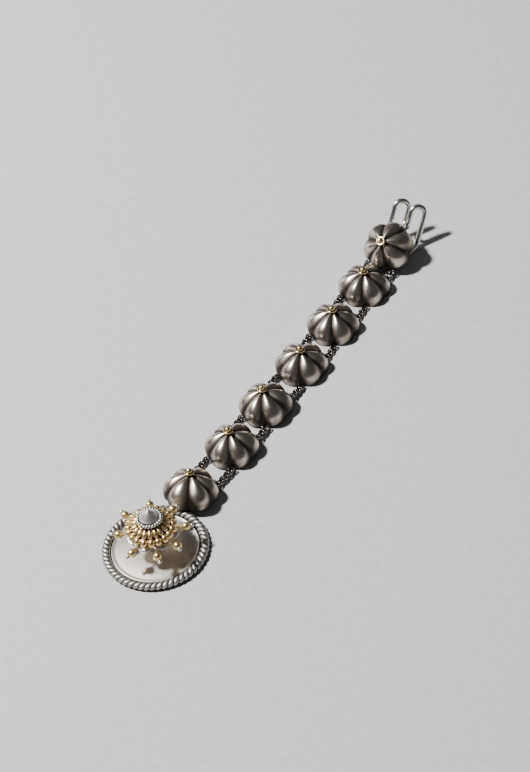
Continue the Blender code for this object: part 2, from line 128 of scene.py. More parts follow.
class Graph:
    """A material's node tree."""

    def __init__(self, tree: bpy.types.NodeTree) -> None:
        """Wrap a node tree."""
        self.tree = tree

    def add(self, kind: str, settings: dict, sockets: dict, output: int | str = 0) -> Value:
        """Add any node.

        Args:
            kind: the node's type.
            settings: properties to set first, such as an operation.
            sockets: values or links by the input's index or name.
            output: the output to return.

        Returns:
            The chosen output, wrapped.
        """
        node = self.tree.nodes.new(kind)
        for key, setting in settings.items():
            setattr(node, key, setting)
        for key, given in sockets.items():
            if isinstance(given, Value):
                self.tree.links.new(given.socket, node.inputs[key])
            else:
                node.inputs[key].default_value = given
        return Value(self, node.outputs[output])

    def mix(self, share: "Value | float", first: "Value | Colour", second: "Value | Colour") -> Value:
        """Mix two colours.

        Args:
            share: how much of the second colour.
            first: the first colour.
            second: the second colour.

        Returns:
            The mixed colour.
        """
        ends = [end if isinstance(end, Value) else (*end, 1.0) for end in (first, second)]
        return self.add("ShaderNodeMix", {"data_type": "RGBA"}, {0: share, 6: ends[0], 7: ends[1]}, 2)

    def place(self, scale: Sequence[float] = (1.0, 1.0, 1.0)) -> Value:
        """Return the piece's own coordinates, stretched by a scale."""
        coords = self.add("ShaderNodeTexCoord", {}, {}, "Object")
        return self.add("ShaderNodeMapping", {}, {"Vector": coords, "Scale": scale})

    def noise(self, place: Value, size: float, detail: float = 3.0) -> Value:
        """Return noise from 0 to 1 whose lumps have a given size in metres."""
        sockets = {"Vector": place, "Scale": 1 / size, "Detail": detail}
        return self.add("ShaderNodeTexNoise", {}, sockets)

    def attribute(self, name: str) -> Value:
        """Return a number stored on the mesh."""
        return self.add("ShaderNodeAttribute", {"attribute_name": name}, {}, "Fac")


@dataclass(frozen=True)
class MetalFinish:
    """A worn metal: bright where it is rubbed, darker and duller where its stored dark share is high:
    patina in its hollows, and painted shade.

    Fields:
        slot: the record's slot that it stands for.
        face: colour of the rubbed faces.
        shade: colour of the patches on them.
        patina_and_shade_colour: colour of the patina in the hollows and of the painted shade.
        polish: roughness of the rubbed faces.
        dulling: roughness that patina and painted shade add.
        onset: the stored dark share where patina and painted shade start.
        full: the share where they are full.
        patch: size of the patches.
        patch_edge: values of the noise between which a patch fades in.
        grain: size of the fine surface grain.
        relief: height of that grain.
        mottle: how much the patches shift the patina and painted shade.
        speckle: how much the grain shifts it.
        haze: how much the patches shift the roughness.
        scuff: how much the rubbing marks shift it.
        rub_size: size of the rubbing marks, in grains.
        rub_stretch: how the marks are drawn out along X, Y and Z.
        bumps: what grain, rubbing marks and patches add to the relief.
    """

    slot: Slot
    face: Colour
    shade: Colour
    patina_and_shade_colour: Colour
    polish: float
    dulling: float
    onset: float
    full: float
    patch: float = 1.6 * MM
    patch_edge: tuple[float, float] = (0.35, 0.68)
    grain: float = 0.16 * MM
    relief: float = 0.006 * MM
    mottle: float = 0.3
    speckle: float = 0.12
    haze: float = 0.16
    scuff: float = 0.12
    rub_size: float = 1.6
    rub_stretch: tuple[float, float, float] = (1.0, 1.0, 0.18)
    bumps: tuple[float, float, float] = (0.6, 0.4, 1.5)

    def material(self, name: str) -> bpy.types.Material:
        """Make the finish's material.

        Args:
            name: the material's name.

        Returns:
            The material, with colour, roughness and relief from its nodes.
        """
        made = bpy.data.materials.new(name)
        made.use_nodes = True
        graph = Graph(made.node_tree)
        shader = made.node_tree.nodes["Principled BSDF"]
        shader.inputs["Metallic"].default_value = 1.0
        place = graph.place()
        patches = graph.noise(place, self.patch, 4.0)
        specks = graph.noise(place, self.grain, 2.0)
        rubs = graph.noise(graph.place(self.rub_stretch), self.grain * self.rub_size, 2.0)
        # Painted shade and patina: the stored dark share, shifted by noise, darkens and dulls the metal
        depth = graph.attribute("shade_and_patina") + patches.swing(self.mottle) + specks.swing(self.speckle)
        patina_and_shade_mask = depth.ramp(self.onset, self.full)
        face = graph.mix(patches.ramp(*self.patch_edge), self.face, self.shade)
        colour = graph.mix(patina_and_shade_mask, face, self.patina_and_shade_colour)
        rough = patina_and_shade_mask * self.dulling + patches.swing(self.haze) + rubs.swing(self.scuff) + self.polish
        relief = specks * self.bumps[0] + rubs * self.bumps[1] + patches * self.bumps[2]
        bump = graph.add("ShaderNodeBump", {}, {"Height": relief, "Distance": self.relief}, "Normal")
        for socket, value in (("Base Color", colour), ("Roughness", rough.clamp()), ("Normal", bump)):
            graph.tree.links.new(value.socket, shader.inputs[socket])
        return made


@dataclass(frozen=True)
class PaperFinish:
    """The pale, faintly grained floor.

    Fields:
        face: colour of its high spots.
        shade: colour between them.
        rough: its roughness.
        pulp: size of the soft lumps.
        tooth: size of the fine grain.
        pulp_share: how much of the colour's pattern is lumps.
        fade: values of that pattern between which the colour changes.
        relief: height of lumps and grain.
    """

    face: Colour = (0.60, 0.594, 0.607)
    shade: Colour = (0.53, 0.524, 0.538)
    rough: float = 0.8
    pulp: float = 2.2 * MM
    tooth: float = 0.5 * MM
    pulp_share: float = 0.6
    fade: tuple[float, float] = (0.3, 0.7)
    relief: float = 0.08 * MM

    def material(self, name: str) -> bpy.types.Material:
        """Make the floor's material.

        Args:
            name: the material's name.

        Returns:
            The material.
        """
        made = bpy.data.materials.new(name)
        made.use_nodes = True
        graph = Graph(made.node_tree)
        shader = made.node_tree.nodes["Principled BSDF"]
        shader.inputs["Roughness"].default_value = self.rough
        place = graph.place()
        pulp = graph.noise(place, self.pulp, 5.0)
        tooth = graph.noise(place, self.tooth, 3.0)
        pattern = pulp * self.pulp_share + tooth * (1 - self.pulp_share)
        colour = graph.mix(pattern.ramp(*self.fade), self.shade, self.face)
        bump = graph.add("ShaderNodeBump", {}, {"Height": pulp + tooth, "Distance": self.relief}, "Normal")
        graph.tree.links.new(colour.socket, shader.inputs["Base Color"])
        graph.tree.links.new(bump.socket, shader.inputs["Normal"])
        return made


SILVER = MetalFinish(
    Slot.OXIDISED, face=(0.62, 0.56, 0.495), shade=(0.43, 0.375, 0.32), patina_and_shade_colour=(0.045, 0.036, 0.03),
    polish=0.29, dulling=0.24, onset=0.16, full=0.9, patch=2.6 * MM,
)
PLATE_SILVER = MetalFinish(
    Slot.OXIDISED, face=(0.72, 0.685, 0.64), shade=(0.54, 0.495, 0.445), patina_and_shade_colour=(0.05, 0.04, 0.035),
    polish=0.44, dulling=0.1, onset=0.55, full=1.15, patch=4.0 * MM,
)
RIM_SILVER = MetalFinish(
    Slot.OXIDISED, face=(0.46, 0.445, 0.42), shade=(0.34, 0.32, 0.295), patina_and_shade_colour=(0.02, 0.017, 0.015),
    polish=0.5, dulling=0.1, onset=0.3, full=0.85,
)
COLLAR_SILVER = MetalFinish(
    Slot.BRIGHT, face=(0.80, 0.77, 0.72), shade=(0.62, 0.59, 0.54), patina_and_shade_colour=(0.035, 0.03, 0.026),
    polish=0.3, dulling=0.2, onset=0.2, full=0.52,
)
SATIN = MetalFinish(
    Slot.BRIGHT, face=(0.80, 0.78, 0.745), shade=(0.66, 0.635, 0.60), patina_and_shade_colour=(0.06, 0.05, 0.045),
    polish=0.42, dulling=0.1, onset=0.5, full=1.0,
)
BRIGHT = MetalFinish(
    Slot.BRIGHT, face=(0.80, 0.78, 0.75), shade=(0.66, 0.635, 0.60), patina_and_shade_colour=(0.06, 0.05, 0.045),
    polish=0.24, dulling=0.26, onset=0.4, full=0.9,
)
GILT = MetalFinish(
    Slot.GILT, face=(0.92, 0.72, 0.39), shade=(0.70, 0.51, 0.24), patina_and_shade_colour=(0.045, 0.03, 0.014),
    polish=0.34, dulling=0.24, onset=0.36, full=0.85, patch=1.0 * MM,
)
BRASS = MetalFinish(
    Slot.GILT, face=(0.74, 0.61, 0.37), shade=(0.50, 0.36, 0.17), patina_and_shade_colour=(0.05, 0.034, 0.016),
    polish=0.24, dulling=0.24, onset=0.3, full=0.8, patch=1.3 * MM,
)
BLACKENED = MetalFinish(
    Slot.CHAIN, face=(0.27, 0.245, 0.22), shade=(0.13, 0.115, 0.10), patina_and_shade_colour=(0.012, 0.01, 0.009),
    polish=0.24, dulling=0.25, onset=0.1, full=0.42, patch=0.8 * MM,
)


# Shapes

def to_mesh(work: bmesh.types.BMesh, outward: bool = True) -> bpy.types.Mesh:
    """Turn a bmesh into a smooth mesh and free it.

    Args:
        work: the shape.
        outward: merge doubles and turn the faces outwards first.

    Returns:
        The mesh.
    """
    if outward:
        bmesh.ops.remove_doubles(work, verts=work.verts, dist=WELD)
        bmesh.ops.recalc_face_normals(work, faces=work.faces)
    mesh = bpy.data.meshes.new("shape")
    work.to_mesh(mesh)
    work.free()
    mesh.shade_smooth()
    return mesh


def turned(profile: Iterable[tuple[float, float]], steps: int) -> bmesh.types.BMesh:
    """Spin an outline of (radius, height) points round Z.

    Args:
        profile: the outline from top to bottom, ending on the axis or not.
        steps: how many steps make the full turn.

    Returns:
        The turned shape.
    """
    work = bmesh.new()
    rail = [work.verts.new((radius, 0.0, height)) for radius, height in profile]
    edges = [work.edges.new(pair) for pair in zip(rail, rail[1:])]
    bmesh.ops.spin(
        work, geom=[*rail, *edges], cent=(0, 0, 0), axis=(0, 0, 1), angle=2 * math.pi,
        steps=steps, use_merge=True,
    )
    bmesh.ops.remove_doubles(work, verts=work.verts, dist=WELD)
    bmesh.ops.recalc_face_normals(work, faces=work.faces)
    return work


def arc(centre: tuple[float, float], radius: float, start: float, end: float,
        steps: int) -> list[tuple[float, float]]:
    """Return points on an arc between two angles in degrees.

    Args:
        centre: the arc's centre as (radius, height).
        radius: the arc's radius.
        start: first angle.
        end: last angle.
        steps: how many steps lie between them.

    Returns:
        The points as (radius, height) pairs.
    """
    angles = [math.radians(start + (end - start) * i / steps) for i in range(steps + 1)]
    return [(centre[0] + radius * math.cos(a), centre[1] + radius * math.sin(a)) for a in angles]


def past(share: float, start: float) -> float:
    """Return how far a share is past its start, as a share of the rest."""
    return max(0.0, (share - start) / (1 - start))


def swept(points: Sequence[Vector], radius: float, sides: int, closed: bool) -> bpy.types.Mesh:
    """Sweep a round wire along points.

    Args:
        points: the wire's middle line.
        radius: the wire's radius.
        sides: even number of sides of its section, 8 or more.
        closed: whether the last point joins the first.

    Returns:
        The wire's mesh, with filled ends if it is open.
    """
    curve = bpy.data.curves.new("wire", "CURVE")
    curve.dimensions = "3D"
    curve.bevel_depth = radius
    curve.bevel_resolution = (sides - 4) // 2
    curve.use_fill_caps = not closed
    spline = curve.splines.new("POLY")
    spline.points.add(len(points) - 1)
    for spot, point in zip(spline.points, points):
        spot.co = (*point, 1.0)
    spline.use_cyclic_u = closed
    blank = bpy.data.objects.new("wire", curve)
    bpy.context.scene.collection.objects.link(blank)
    depsgraph = bpy.context.evaluated_depsgraph_get()
    mesh = bpy.data.meshes.new_from_object(blank.evaluated_get(depsgraph))
    bpy.data.objects.remove(blank, do_unlink=True)
    return mesh


def gathered(meshes: Iterable[bpy.types.Mesh]) -> bpy.types.Mesh:
    """Gather meshes into one, faces outwards.

    Args:
        meshes: the meshes, each in its place.

    Returns:
        One mesh that holds them all.
    """
    work = bmesh.new()
    for mesh in meshes:
        work.from_mesh(mesh)
    return to_mesh(work)


def rope_ring(ring: float, radius: float, height: float, turns: int, strand: float,
              sides: int = 12, steps: int = 16) -> bpy.types.Mesh:
    """Twist two round wires about each other along a ring.

    Args:
        ring: radius of the ring's middle line.
        radius: radius over both wires.
        height: height of the middle line.
        turns: how often the wires twist.
        strand: radius of one wire.
        sides: sides of a wire's section.
        steps: points in each turn.

    Returns:
        The rope's mesh.
    """
    lay = radius - strand
    wires = []
    for phase in (0.0, math.pi):
        points = []
        for i in range(turns * steps):
            around = 2 * math.pi * i / (turns * steps)
            twist = turns * around + phase
            out = ring + lay * math.cos(twist)
            points.append(Vector((out * math.cos(around), out * math.sin(around),
                                  height + lay * math.sin(twist))))
        wires.append(swept(points, strand, sides, True))
    return gathered(wires)


def cord_ring(ring: float, width: float, height: float, turns: int, groove: float,
              sharpness: float = 3.4, sides: int = 28, steps: int = 26) -> bpy.types.Mesh:
    """Twist two full strands so closely along a ring that only thin grooves part them.

    Args:
        ring: radius of the ring's middle line.
        width: half of the cord's width.
        height: half of its height; it rests at z = 0.
        turns: how often the strands twist.
        groove: depth of the grooves as a share of the width.
        sharpness: the higher, the narrower the grooves.
        sides: points round the section.
        steps: sections in each turn.

    Returns:
        The cord's mesh, with patina in its grooves and painted shade on its floor side stored.
    """
    section = [(ring + width * across, height + height * rise)
               for across, rise in arc((0.0, 0.0), 1.0, 0, 360, sides)]
    work = turned(section, turns * steps)
    layer = work.verts.layers.float.new("shade_and_patina")
    for vert in work.verts:
        across = (math.hypot(vert.co.x, vert.co.y) - ring) / width
        rise = vert.co.z / height - 1
        twist = turns * math.atan2(vert.co.y, vert.co.x)
        share = abs(math.sin(math.atan2(rise, across) - twist)) ** sharpness
        swell = 1 - groove * share
        shift = (ring + width * swell * across) / (ring + width * across)
        vert.co = (vert.co.x * shift, vert.co.y * shift, height * (1 + swell * rise))
        # The grooves get patina, and the side towards the floor gets painted shade
        under = max(0.0, min(1.0, 0.25 - 1.6 * rise))
        vert[layer] = max(share ** 3, under)
    return to_mesh(work, outward=False)


def scattered(count: int, place: Callable[[int], Matrix],
              shape: Callable[[bmesh.types.BMesh], list]) -> bmesh.types.BMesh:
    """Make a shape several times and put each copy in its place.

    Args:
        count: how many copies.
        place: gives the placing matrix of a copy.
        shape: adds one copy to the bmesh and returns its vertices.

    Returns:
        All the copies in one bmesh.
    """
    work = bmesh.new()
    for i in range(count):
        bmesh.ops.transform(work, matrix=place(i), verts=shape(work))
    return work


@dataclass
class ShadeAndPatinaPainter:
    """Paints shade and patina: finds how deep each point of a mesh sits among its neighbours.

    Fields:
        rays: rays cast from each point.
        reach: how far a neighbour still shades a point.
        fading: how much less a neighbour at the end of that reach counts.
        lift: how far off the surface a ray starts.
    """

    rays: int = 14
    reach: float = 1.5 * MM
    fading: float = 0.5
    lift: float = 0.01 * MM

    def _directions(self) -> list[tuple[float, float, float]]:
        """Spread directions over a hemisphere, denser at its top.

        Returns:
            The directions, with Z as the surface's normal.
        """
        made = []
        for i in range(self.rays):
            rise = math.sqrt((i + 0.5) / self.rays)
            turn = i * math.pi * (3 - math.sqrt(5))
            side = math.sqrt(1 - rise * rise)
            made.append((side * math.cos(turn), side * math.sin(turn), rise))
        return made

    def paint(self, meshes: Sequence[bpy.types.Mesh]) -> None:
        """Store each point's depth among its neighbours as its painted shade and patina.

        Args:
            meshes: the meshes that shade each other.
        """
        corners: list[Vector] = []
        faces: list[list[int]] = []
        for mesh in meshes:
            first = len(corners)
            corners.extend(vert.co.copy() for vert in mesh.vertices)
            faces.extend([first + i for i in face.vertices] for face in mesh.polygons)
        tree = BVHTree.FromPolygons(corners, faces)
        spread = self._directions()
        for mesh in meshes:
            depth = []
            for vert in mesh.vertices:
                normal = vert.normal
                across = normal.orthogonal().normalized()
                along = normal.cross(across)
                start = vert.co + normal * self.lift
                hits = 0.0
                for x, y, z in spread:
                    hit = tree.ray_cast(start, across * x + along * y + normal * z, self.reach)
                    if hit[0] is not None:
                        hits += 1 - self.fading * hit[3] / self.reach
                depth.append(hits / self.rays)
            store(mesh, depth)


def store(mesh: bpy.types.Mesh, depth: Sequence[float]) -> None:
    """Store how deep each point of a mesh sits, as its painted shade and patina."""
    attribute = mesh.attributes.new("shade_and_patina", "FLOAT", "POINT")
    attribute.data.foreach_set("value", list(depth))


@dataclass
class Bench:
    """Turns finished meshes into pieces of the jewel and keeps their materials."""

    materials: dict[MetalFinish, bpy.types.Material] = field(default_factory=dict)

    def piece(self, name: str, mesh: bpy.types.Mesh, finish: MetalFinish,
              nodes: Sequence[str] = ()) -> bpy.types.Object:
        """Add a piece to the jewel.

        Args:
            name: the piece's name.
            mesh: its mesh, in place.
            finish: its metal.
            nodes: the plain solids that it stands for.

        Returns:
            The new object.
        """
        if finish not in self.materials:
            label = f"{finish.slot.value}_{len(self.materials)}"
            self.materials[finish] = finish.material(label)
        if "shade_and_patina" not in mesh.attributes:
            store(mesh, [0.0] * len(mesh.vertices))
        mesh.name = name
        mesh.shade_smooth()
        mesh.materials.clear()
        mesh.materials.append(self.materials[finish])
        made = bpy.data.objects.new(name, mesh)
        bpy.context.scene.collection.objects.link(made)
        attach(made, BODY)
        if nodes:
            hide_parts(*nodes)
        LOG.info("%s: %d faces", name, len(mesh.polygons))
        return made


def middle(node: str) -> Vector:
    """Return the middle of a plain solid's box."""
    low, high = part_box(node)
    return (low + high) / 2


# The pendant

@dataclass
class Pendant:
    """The slightly domed plate, its thin inner wire and its twisted rope rim.

    Fields:
        radius: to the rope's outer side.
        rope: half of the rope's width.
        rope_height: half of its height.
        groove: depth of its grooves as a share of its width.
        turns: how often its strands twist.
        plate: height of the plate's edge.
        bulge: how much higher its middle is.
        bulge_power: the higher, the flatter the middle.
        wire: radius of the inner wire.
        wire_inset: from the rope to that wire.
        wire_lift: of the wire's middle over the plate's edge.
        step_inset: from the wire to the foot of the bulge.
        bite: how far the plate runs in under the rope.
        ledge: how much lower the plate is outside the wire.
        lip: height of the narrow step between bulge and wire.
        fine: width of the narrowest steps.
        sole: height of the bevel under the edge.
    """

    radius: float = 14.5 * MM
    rope: float = 1.15 * MM
    rope_height: float = 1.0 * MM
    groove: float = 0.2
    turns: int = 28
    plate: float = 0.8 * MM
    bulge: float = 0.65 * MM
    bulge_power: float = 2.6
    wire: float = 0.24 * MM
    wire_inset: float = 0.28 * MM
    wire_lift: float = 0.02 * MM
    step_inset: float = 0.35 * MM
    bite: float = 0.45 * MM
    ledge: float = 0.25 * MM
    lip: float = 0.03 * MM
    fine: float = 0.1 * MM
    sole: float = 0.02 * MM

    def plate_mesh(self, rings: int = 24) -> bpy.types.Mesh:
        """Turn the plate with its bulge and inner wire.

        Args:
            rings: steps of the bulge.

        Returns:
            The plate's mesh.
        """
        edge = self.radius - 2 * self.rope + self.bite
        wire = self.radius - 2 * self.rope - self.wire_inset - self.wire
        flat = wire - self.wire - self.step_inset
        top = self.plate
        rows = [(0.0, top + self.bulge)]
        rows += [(flat * share, top + self.bulge * (1 - share ** self.bulge_power))
                 for share in [i / rings for i in range(1, rings + 1)]]
        rows += [(flat + self.fine, top + self.lip), (flat + 3 * self.fine, top + self.lip)]
        rows += arc((wire, top + self.wire_lift), self.wire, 180, 0, 10)
        rows += [(wire + self.wire + self.fine, top - self.ledge), (edge, top - self.ledge)]
        rows += [(edge, self.sole), (edge - self.fine, 0.0), (flat * 0.6, 0.0), (0.0, 0.0)]
        return to_mesh(turned(rows, 180))

    def meshes(self) -> list[bpy.types.Mesh]:
        """Build the pendant.

        Returns:
            The plate and the rope rim, round the origin.
        """
        ring = self.radius - self.rope
        return [self.plate_mesh(),
                cord_ring(ring, self.rope, self.rope_height, self.turns, self.groove)]


@dataclass
class Tower:
    """The petalled post, both grain tiers, the rope collar and the cone.

    Heights are above the floor; the post's parts meet as soldered ones do.

    Fields:
        foot, foot_radius, foot_edge: height of the foot's underside, its radius
            and the thickness of its edge.
        neck, neck_foot: the neck's radius, and the height where it meets the foot.
        spindle: radius of the rod that carries the tiers.
        petal_notch: how deep the petals are parted.
        petal_start: where the notches begin, as a share of the petals' radius.
        petal_rings, petal_core: rings of the plate's mesh out to the tips, and
            the first of them outside the spindle.
        petal_steps: steps across a petal.
        petal_round: the lower, the rounder the petals' ends.
        petal_phase, skirt_slope, crown_slope: angles in radians.
        grain_taper: how much thicker a grain's outer end is.
        grain_sway, grain_size, grain_lean: small differences between grains.
        seat_inset, seat_edge: the crown's seat inside its grains, and its edge.
        cone_tip: radius of the cone's soft tip.
        cone_flange, cone_bevel: thickness of its flange, and height of the bevel on it.
    """

    foot: float = 0.62 * MM
    foot_radius: float = 2.3 * MM
    foot_edge: float = 0.15 * MM
    neck: float = 1.9 * MM
    neck_foot: float = 2.0 * MM
    spindle: float = 1.7 * MM
    petals: int = 8
    petal_radius: float = 7.3 * MM
    petal_height: float = 8.1 * MM
    petal_thickness: float = 0.5 * MM
    petal_rise: float = 0.4 * MM
    petal_notch: float = 1.5 * MM
    petal_start: float = 0.45
    petal_round: float = 0.6
    petal_rings: int = 14
    petal_core: int = 4
    petal_steps: int = 20
    petal_droop: float = 0.8 * MM
    petal_phase: float = math.radians(-4)
    skirt_count: int = 20
    skirt_ring: float = 6.1 * MM
    skirt_grain: float = 0.92 * MM
    skirt_length: float = 2.3 * MM
    skirt_slope: float = math.radians(48)
    skirt_height: float = 9.78 * MM
    skirt_seed: int = 3
    crown_count: int = 20
    crown_ring: float = 4.35 * MM
    crown_grain: float = 0.66 * MM
    crown_length: float = 2.6 * MM
    crown_slope: float = math.radians(32)
    crown_height: float = 11.35 * MM
    crown_seed: int = 5
    grain_taper: float = 0.14
    grain_sway: float = 0.07
    grain_size: float = 0.04
    grain_lean: float = 0.07
    seat_inset: float = 0.5 * MM
    seat_edge: float = 0.2 * MM
    collar_radius: float = 3.65 * MM
    collar_rope: float = 0.55 * MM
    collar_strand: float = 0.25 * MM
    collar_turns: int = 13
    collar_height: float = 13.1 * MM
    cone_radius: float = 2.65 * MM
    cone_base: float = 13.55 * MM
    cone_height: float = 2.4 * MM
    cone_tip: float = 0.6 * MM
    cone_flange: float = 0.16 * MM
    cone_bevel: float = 0.1 * MM

    def post_mesh(self) -> bpy.types.Mesh:
        """Turn the post and cut its plate into rounded, drooping petals.

        Returns:
            The mesh of foot, neck, petals and spindle.
        """
        top = self.petal_height + self.petal_thickness
        rows = [(0.0, self.cone_base), (self.spindle, self.cone_base)]
        rows += [(self.spindle, top + self.petal_rise)]
        outer = [i / self.petal_rings for i in range(self.petal_core, self.petal_rings + 1)]
        rows += [(self.petal_radius * s, top + self.petal_rise * (1 - s)) for s in outer]
        rows += [(self.petal_radius * s, self.petal_height + self.petal_rise * (1 - s))
                 for s in reversed(outer)]
        rows += [(self.neck, self.petal_height), (self.neck, self.neck_foot)]
        rows += [(self.foot_radius, self.foot + self.foot_edge), (self.foot_radius, self.foot)]
        rows += [(0.0, self.foot)]
        work = turned(rows, self.petals * self.petal_steps)
        for vert in work.verts:
            reach = math.hypot(vert.co.x, vert.co.y)
            if vert.co.z < self.petal_height - WELD:
                continue
            turn = math.atan2(vert.co.y, vert.co.x) - self.petal_phase - math.pi / self.petals
            lobe = abs(math.cos(turn * self.petals / 2))
            share = past(reach / self.petal_radius, self.petal_start)
            shrink = 1 - self.petal_notch / self.petal_radius * (1 - lobe ** self.petal_round) * share
            vert.co.x *= shrink
            vert.co.y *= shrink
            vert.co.z -= self.petal_droop * lobe * share ** 2
        return to_mesh(work)

    def _grains(self, count: int, ring: float, height: float, radius: float, length: float,
                slope: float, seed: int) -> bmesh.types.BMesh:
        """Set long round grains in a ring, pointing outwards and down.

        Args:
            count: how many grains.
            ring: radius of the ring through their middles.
            height: height of their middles.
            radius: a grain's radius.
            length: a grain's length.
            slope: how far they point down, in radians.
            seed: seed of the small differences between them.

        Returns:
            All the grains in one bmesh.
        """
        dice = random.Random(seed)
        jitter = [(dice.uniform(-1, 1), dice.uniform(-1, 1), dice.uniform(-1, 1)) for _ in range(count)]

        def shape(work: bmesh.types.BMesh) -> list:
            """Add one grain along Z.

            Args:
                work: takes the grain.

            Returns:
                The grain's vertices.
            """
            made = bmesh.ops.create_uvsphere(work, u_segments=16, v_segments=14, radius=radius)["verts"]
            stretch = length / (2 * radius)
            for vert in made:
                taper = 1 + self.grain_taper * (stretch - 1) * vert.co.z / radius
                vert.co = Vector((vert.co.x * taper, vert.co.y * taper, vert.co.z * stretch))
            return made

        def place(i: int) -> Matrix:
            """Place one grain.

            Args:
                i: which grain.

            Returns:
                Its placing matrix.
            """
            sway, size, lean = jitter[i]
            turn = Matrix.Rotation(2 * math.pi * (i + self.grain_sway * sway) / count, 4, "Z")
            tip = Matrix.Rotation(math.pi / 2 + slope + self.grain_lean * lean, 4, "Y")
            grow = Matrix.Scale(1 + self.grain_size * size, 4)
            return turn @ Matrix.Translation((ring, 0, height)) @ tip @ grow

        return scattered(count, place, shape)

    def skirt_mesh(self) -> bpy.types.Mesh:
        """Make the lower tier: round grains on a thin seat.

        Returns:
            The tier's mesh.
        """
        grain = self.skirt_grain
        work = self._grains(self.skirt_count, self.skirt_ring, self.skirt_height, grain,
                            self.skirt_length, self.skirt_slope, self.skirt_seed)
        seat = turned([(self.spindle, self.skirt_height + 0.5 * grain),
                       (self.skirt_ring - 0.5 * grain, self.skirt_height + 0.35 * grain),
                       (self.skirt_ring, self.skirt_height),
                       (self.skirt_ring - 0.6 * grain, self.skirt_height - 0.35 * grain),
                       (self.spindle, self.skirt_height - 0.25 * grain),
                       (self.spindle, self.skirt_height + 0.5 * grain)], 80)
        return gathered([to_mesh(work), to_mesh(seat)])

    def crown_mesh(self) -> bpy.types.Mesh:
        """Make the upper tier: long grains that radiate on a sloping seat.

        Returns:
            The tier's mesh.
        """
        work = self._grains(self.crown_count, self.crown_ring, self.crown_height, self.crown_grain,
                            self.crown_length, self.crown_slope, self.crown_seed)
        dip = self.crown_length / 2 * math.sin(self.crown_slope)
        inner = self.crown_ring - self.crown_length / 2 * math.cos(self.crown_slope)
        outer = self.crown_ring + self.crown_length * 0.3 - self.seat_inset
        under = self.crown_height - dip - self.seat_edge
        seat = turned([(self.spindle, self.crown_height + dip), (inner, self.crown_height + dip * 0.7),
                       (outer, self.crown_height - dip * 0.9), (outer - self.seat_edge, under),
                       (self.spindle, under), (self.spindle, self.crown_height + dip)], 80)
        return gathered([to_mesh(work), to_mesh(seat)])

    def cone_mesh(self) -> bpy.types.Mesh:
        """Turn the small cone with its flanged foot and soft tip.

        Returns:
            The cone's mesh.
        """
        base, rise, radius = self.cone_base, self.cone_height, self.cone_radius
        rows = [(0.0, base + rise)]
        rows += arc((0.0, base + rise - self.cone_tip), self.cone_tip, 75, 44, 5)
        # The flank swells a little on its way down to the flange
        rows += [(radius * (0.17 + 0.7 * s), base + rise * (0.92 - 0.74 * s ** 1.15))
                 for s in [i / 20 for i in range(1, 21)]]
        flange = base + self.cone_flange
        rows += [(radius * 0.95, flange + self.cone_bevel), (radius, flange), (radius, base)]
        rows += [(0.0, base)]
        return to_mesh(turned(rows, 96))

    def meshes(self) -> list[bpy.types.Mesh]:
        """Build every part of the tower.

        Returns:
            Post, skirt, crown, collar and cone, round the origin.
        """
        collar = rope_ring(self.collar_radius - self.collar_rope, self.collar_rope, self.collar_height,
                           self.collar_turns, self.collar_strand)
        return [self.post_mesh(), self.skirt_mesh(), self.crown_mesh(), collar, self.cone_mesh()]


@dataclass(frozen=True)
class PinLie:
    """How one loose pin points.

    Fields:
        turn: its angle past its even place, in degrees.
        reach: how far out its ball is, as a share of the even reach.
        swing: how far its tip is swung sideways about the ball, in degrees.
        droop: how far the tip hangs down, in degrees.
    """

    turn: float = 0.0
    reach: float = 1.0
    swing: float = 0.0
    droop: float = 0.0


